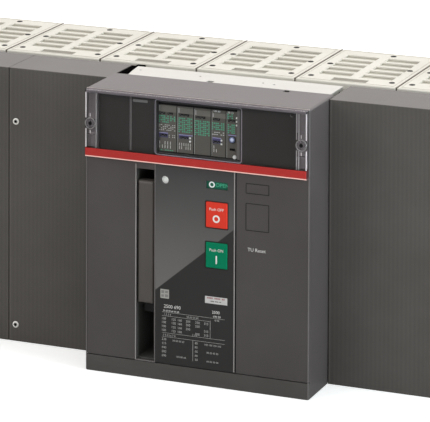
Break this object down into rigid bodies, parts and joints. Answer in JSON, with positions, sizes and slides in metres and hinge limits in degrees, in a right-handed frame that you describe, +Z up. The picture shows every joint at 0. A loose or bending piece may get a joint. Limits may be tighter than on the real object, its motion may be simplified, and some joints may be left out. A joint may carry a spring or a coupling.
{
  "type": "air circuit breaker",
  "caption": "Fixed air circuit breaker with a central front shield, charging lever, push buttons, windowed trip unit and vented arc chutes.",
  "frame": {"origin": "middle of the footprint of the whole breaker, on the floor it stands on", "axes": "+X to the right as seen from the front, +Y from the front shield to the rear terminals, +Z up"},
  "size_m": [0.762, 0.353, 0.331],
  "materials": {
    "shield": "satin",
    "plinth": "satin",
    "cover": "ribbed satin",
    "screw_steel": "brushed",
    "dark_plastic": "matte",
    "unit_case": "matte",
    "bezel": "satin",
    "switch_black": "matte",
    "plug_white": "satin",
    "window": "clear",
    "red_band": "gloss",
    "latch": "matte",
    "plate": "satin",
    "flag": "satin",
    "off_red": "satin",
    "on_green": "satin",
    "spring_steel": "drawn wire",
    "lever": "satin",
    "steel": "machined",
    "zinc_sheet": "zinc plated",
    "copper": "machined copper",
    "silvered_copper": "silver plated",
    "resin": "cast resin",
    "housing": "moulded",
    "chute": "moulded",
    "screw_dark": "blackened",
    "screen": "perforated sheet",
    "tray": "white, satin"
  },
  "bodies": {
    "frame": {"front_shield": "shield", "plinth_strip": "plinth", "left_outer_cover": "cover", "left_inner_cover": "cover", "right_cover": "cover", "cover_screws": "screw_steel", "module_tray": "dark_plastic", "left_module_blank": "dark_plastic", "middle_module_blank": "dark_plastic", "right_module_blank": "dark_plastic", "trip_unit_case": "unit_case", "trip_unit_bezel": "bezel", "dip_switch_banks": "switch_black", "rating_plug": "plug_white", "centre_plate": "plate", "button_guide": "dark_plastic", "button_springs": "spring_steel", "key_lock_blank": "shield", "lever_channel": "dark_plastic", "closing_spring": "spring_steel", "mechanism_frame": "zinc_sheet", "upper_terminals": "silvered_copper", "lower_terminals": "silvered_copper", "flexible_braids": "copper", "current_sensors": "resin", "pole_housing_1": "housing", "pole_housing_2": "housing", "pole_housing_3": "housing", "arc_chute_1": "chute", "arc_chute_2": "chute", "arc_chute_3": "chute", "arc_chute_4": "chute", "arc_chute_5": "chute", "arc_chute_6": "chute", "chute_screws": "screw_dark", "vent_screens": "screen", "splitter_plates": "zinc_sheet", "terminal_tray": "tray", "base_tray": "zinc_sheet", "cross_frame": "zinc_sheet", "side_frame_left": "zinc_sheet", "side_frame_right": "zinc_sheet"},
    "window": {"window_cover": "window", "red_band": "red_band"},
    "left_latch": {"latch_left": "latch"},
    "right_latch": {"latch_right": "latch"},
    "lever": {"charging_lever": "lever"},
    "off_push": {"off_button": "off_red"},
    "on_push": {"on_button": "on_green"},
    "reset_push": {"trip_reset_button": "shield"},
    "test_push": {"test_button": "plug_white"},
    "open_closed_flag": {"position_flag": "flag"},
    "charged_flag": {"spring_flag": "flag"},
    "cam": {"cam_shaft": "steel"},
    "carriage": {"spring_carriage": "steel"},
    "main_shaft": {"pole_shaft": "steel"},
    "links": {"coupling_links": "steel"},
    "contacts": {"moving_contact_1": "copper", "moving_contact_2": "copper", "moving_contact_3": "copper"}
  },
  "joints": [
    {"name": "window_removal", "type": "slide", "parent": "frame", "child": "window", "axis": [0, -1, 0], "range_m": [0, 0.06]},
    {"name": "left_latch_turn", "type": "hinge", "parent": "window", "child": "left_latch", "pos_m": [-0.0672, -0.17635, 0.291], "axis": [0, 1, 0], "range_deg": [0, 90]},
    {"name": "right_latch_turn", "type": "hinge", "parent": "window", "child": "right_latch", "pos_m": [0.1932, -0.17635, 0.291], "axis": [0, 1, 0], "range_deg": [0, 90]},
    {"name": "lever_stroke", "type": "hinge", "parent": "frame", "child": "lever", "pos_m": [-0.0001, -0.1315, 0.08], "axis": [1, 0, 0], "range_deg": [0, 75], "stiffness_Nm_per_rad": 0.12, "springref_deg": -34.38},
    {"name": "off_press", "type": "slide", "parent": "frame", "child": "off_push", "axis": [0, 1, 0], "range_m": [0, 0.005], "stiffness_N_per_m": 500, "deforming": ["button_springs"]},
    {"name": "on_press", "type": "slide", "parent": "frame", "child": "on_push", "axis": [0, 1, 0], "range_m": [0, 0.005], "stiffness_N_per_m": 500, "deforming": ["button_springs"]},
    {"name": "reset_press", "type": "slide", "parent": "frame", "child": "reset_push", "axis": [0, 1, 0], "range_m": [0, 0.004], "stiffness_N_per_m": 400},
    {"name": "test_press", "type": "slide", "parent": "frame", "child": "test_push", "axis": [0, 1, 0], "range_m": [0, 0.0014], "stiffness_N_per_m": 200},
    {"name": "position_flag_lift", "type": "slide", "parent": "frame", "child": "open_closed_flag", "axis": [0, 0, 1], "range_m": [0, 0.0101]},
    {"name": "spring_flag_lift", "type": "slide", "parent": "frame", "child": "charged_flag", "axis": [0, 0, 1], "range_m": [0, 0.0101]},
    {"name": "cam_turn", "type": "hinge", "parent": "frame", "child": "cam", "pos_m": [0.055, -0.1315, 0.08], "axis": [1, 0, 0], "range_deg": [0, 270]},
    {"name": "carriage_charge", "type": "slide", "parent": "frame", "child": "carriage", "axis": [0, 1, 0], "range_m": [0, 0.0171], "deforming": ["closing_spring"]},
    {"name": "pole_shaft_turn", "type": "hinge", "parent": "frame", "child": "main_shaft", "pos_m": [0, -0.0455, 0.045], "axis": [-1, 0, 0], "range_deg": [0, 40]},
    {"name": "link_turn", "type": "hinge", "parent": "main_shaft", "child": "links", "pos_m": [0, -0.05385, 0.06794], "axis": [1, 0, 0], "range_deg": [0, 40.5]},
    {"name": "contact_swing", "type": "hinge", "parent": "frame", "child": "contacts", "pos_m": [0, 0.0405, 0.03], "axis": [-1, 0, 0], "range_deg": [0, 16.2]}
  ],
  "couplings": [
    {"joint": "contact_swing", "follows": "pole_shaft_turn", "ratio": 0.4},
    {"joint": "link_turn", "follows": "pole_shaft_turn", "ratio": 1},
    {"joint": "position_flag_lift", "follows": "pole_shaft_turn", "m_per_rad": 0.014324},
    {"joint": "carriage_charge", "follows": "cam_turn", "m_per_rad": 0.0036075},
    {"joint": "spring_flag_lift", "follows": "cam_turn", "m_per_rad": 0.0021221}
  ]
}
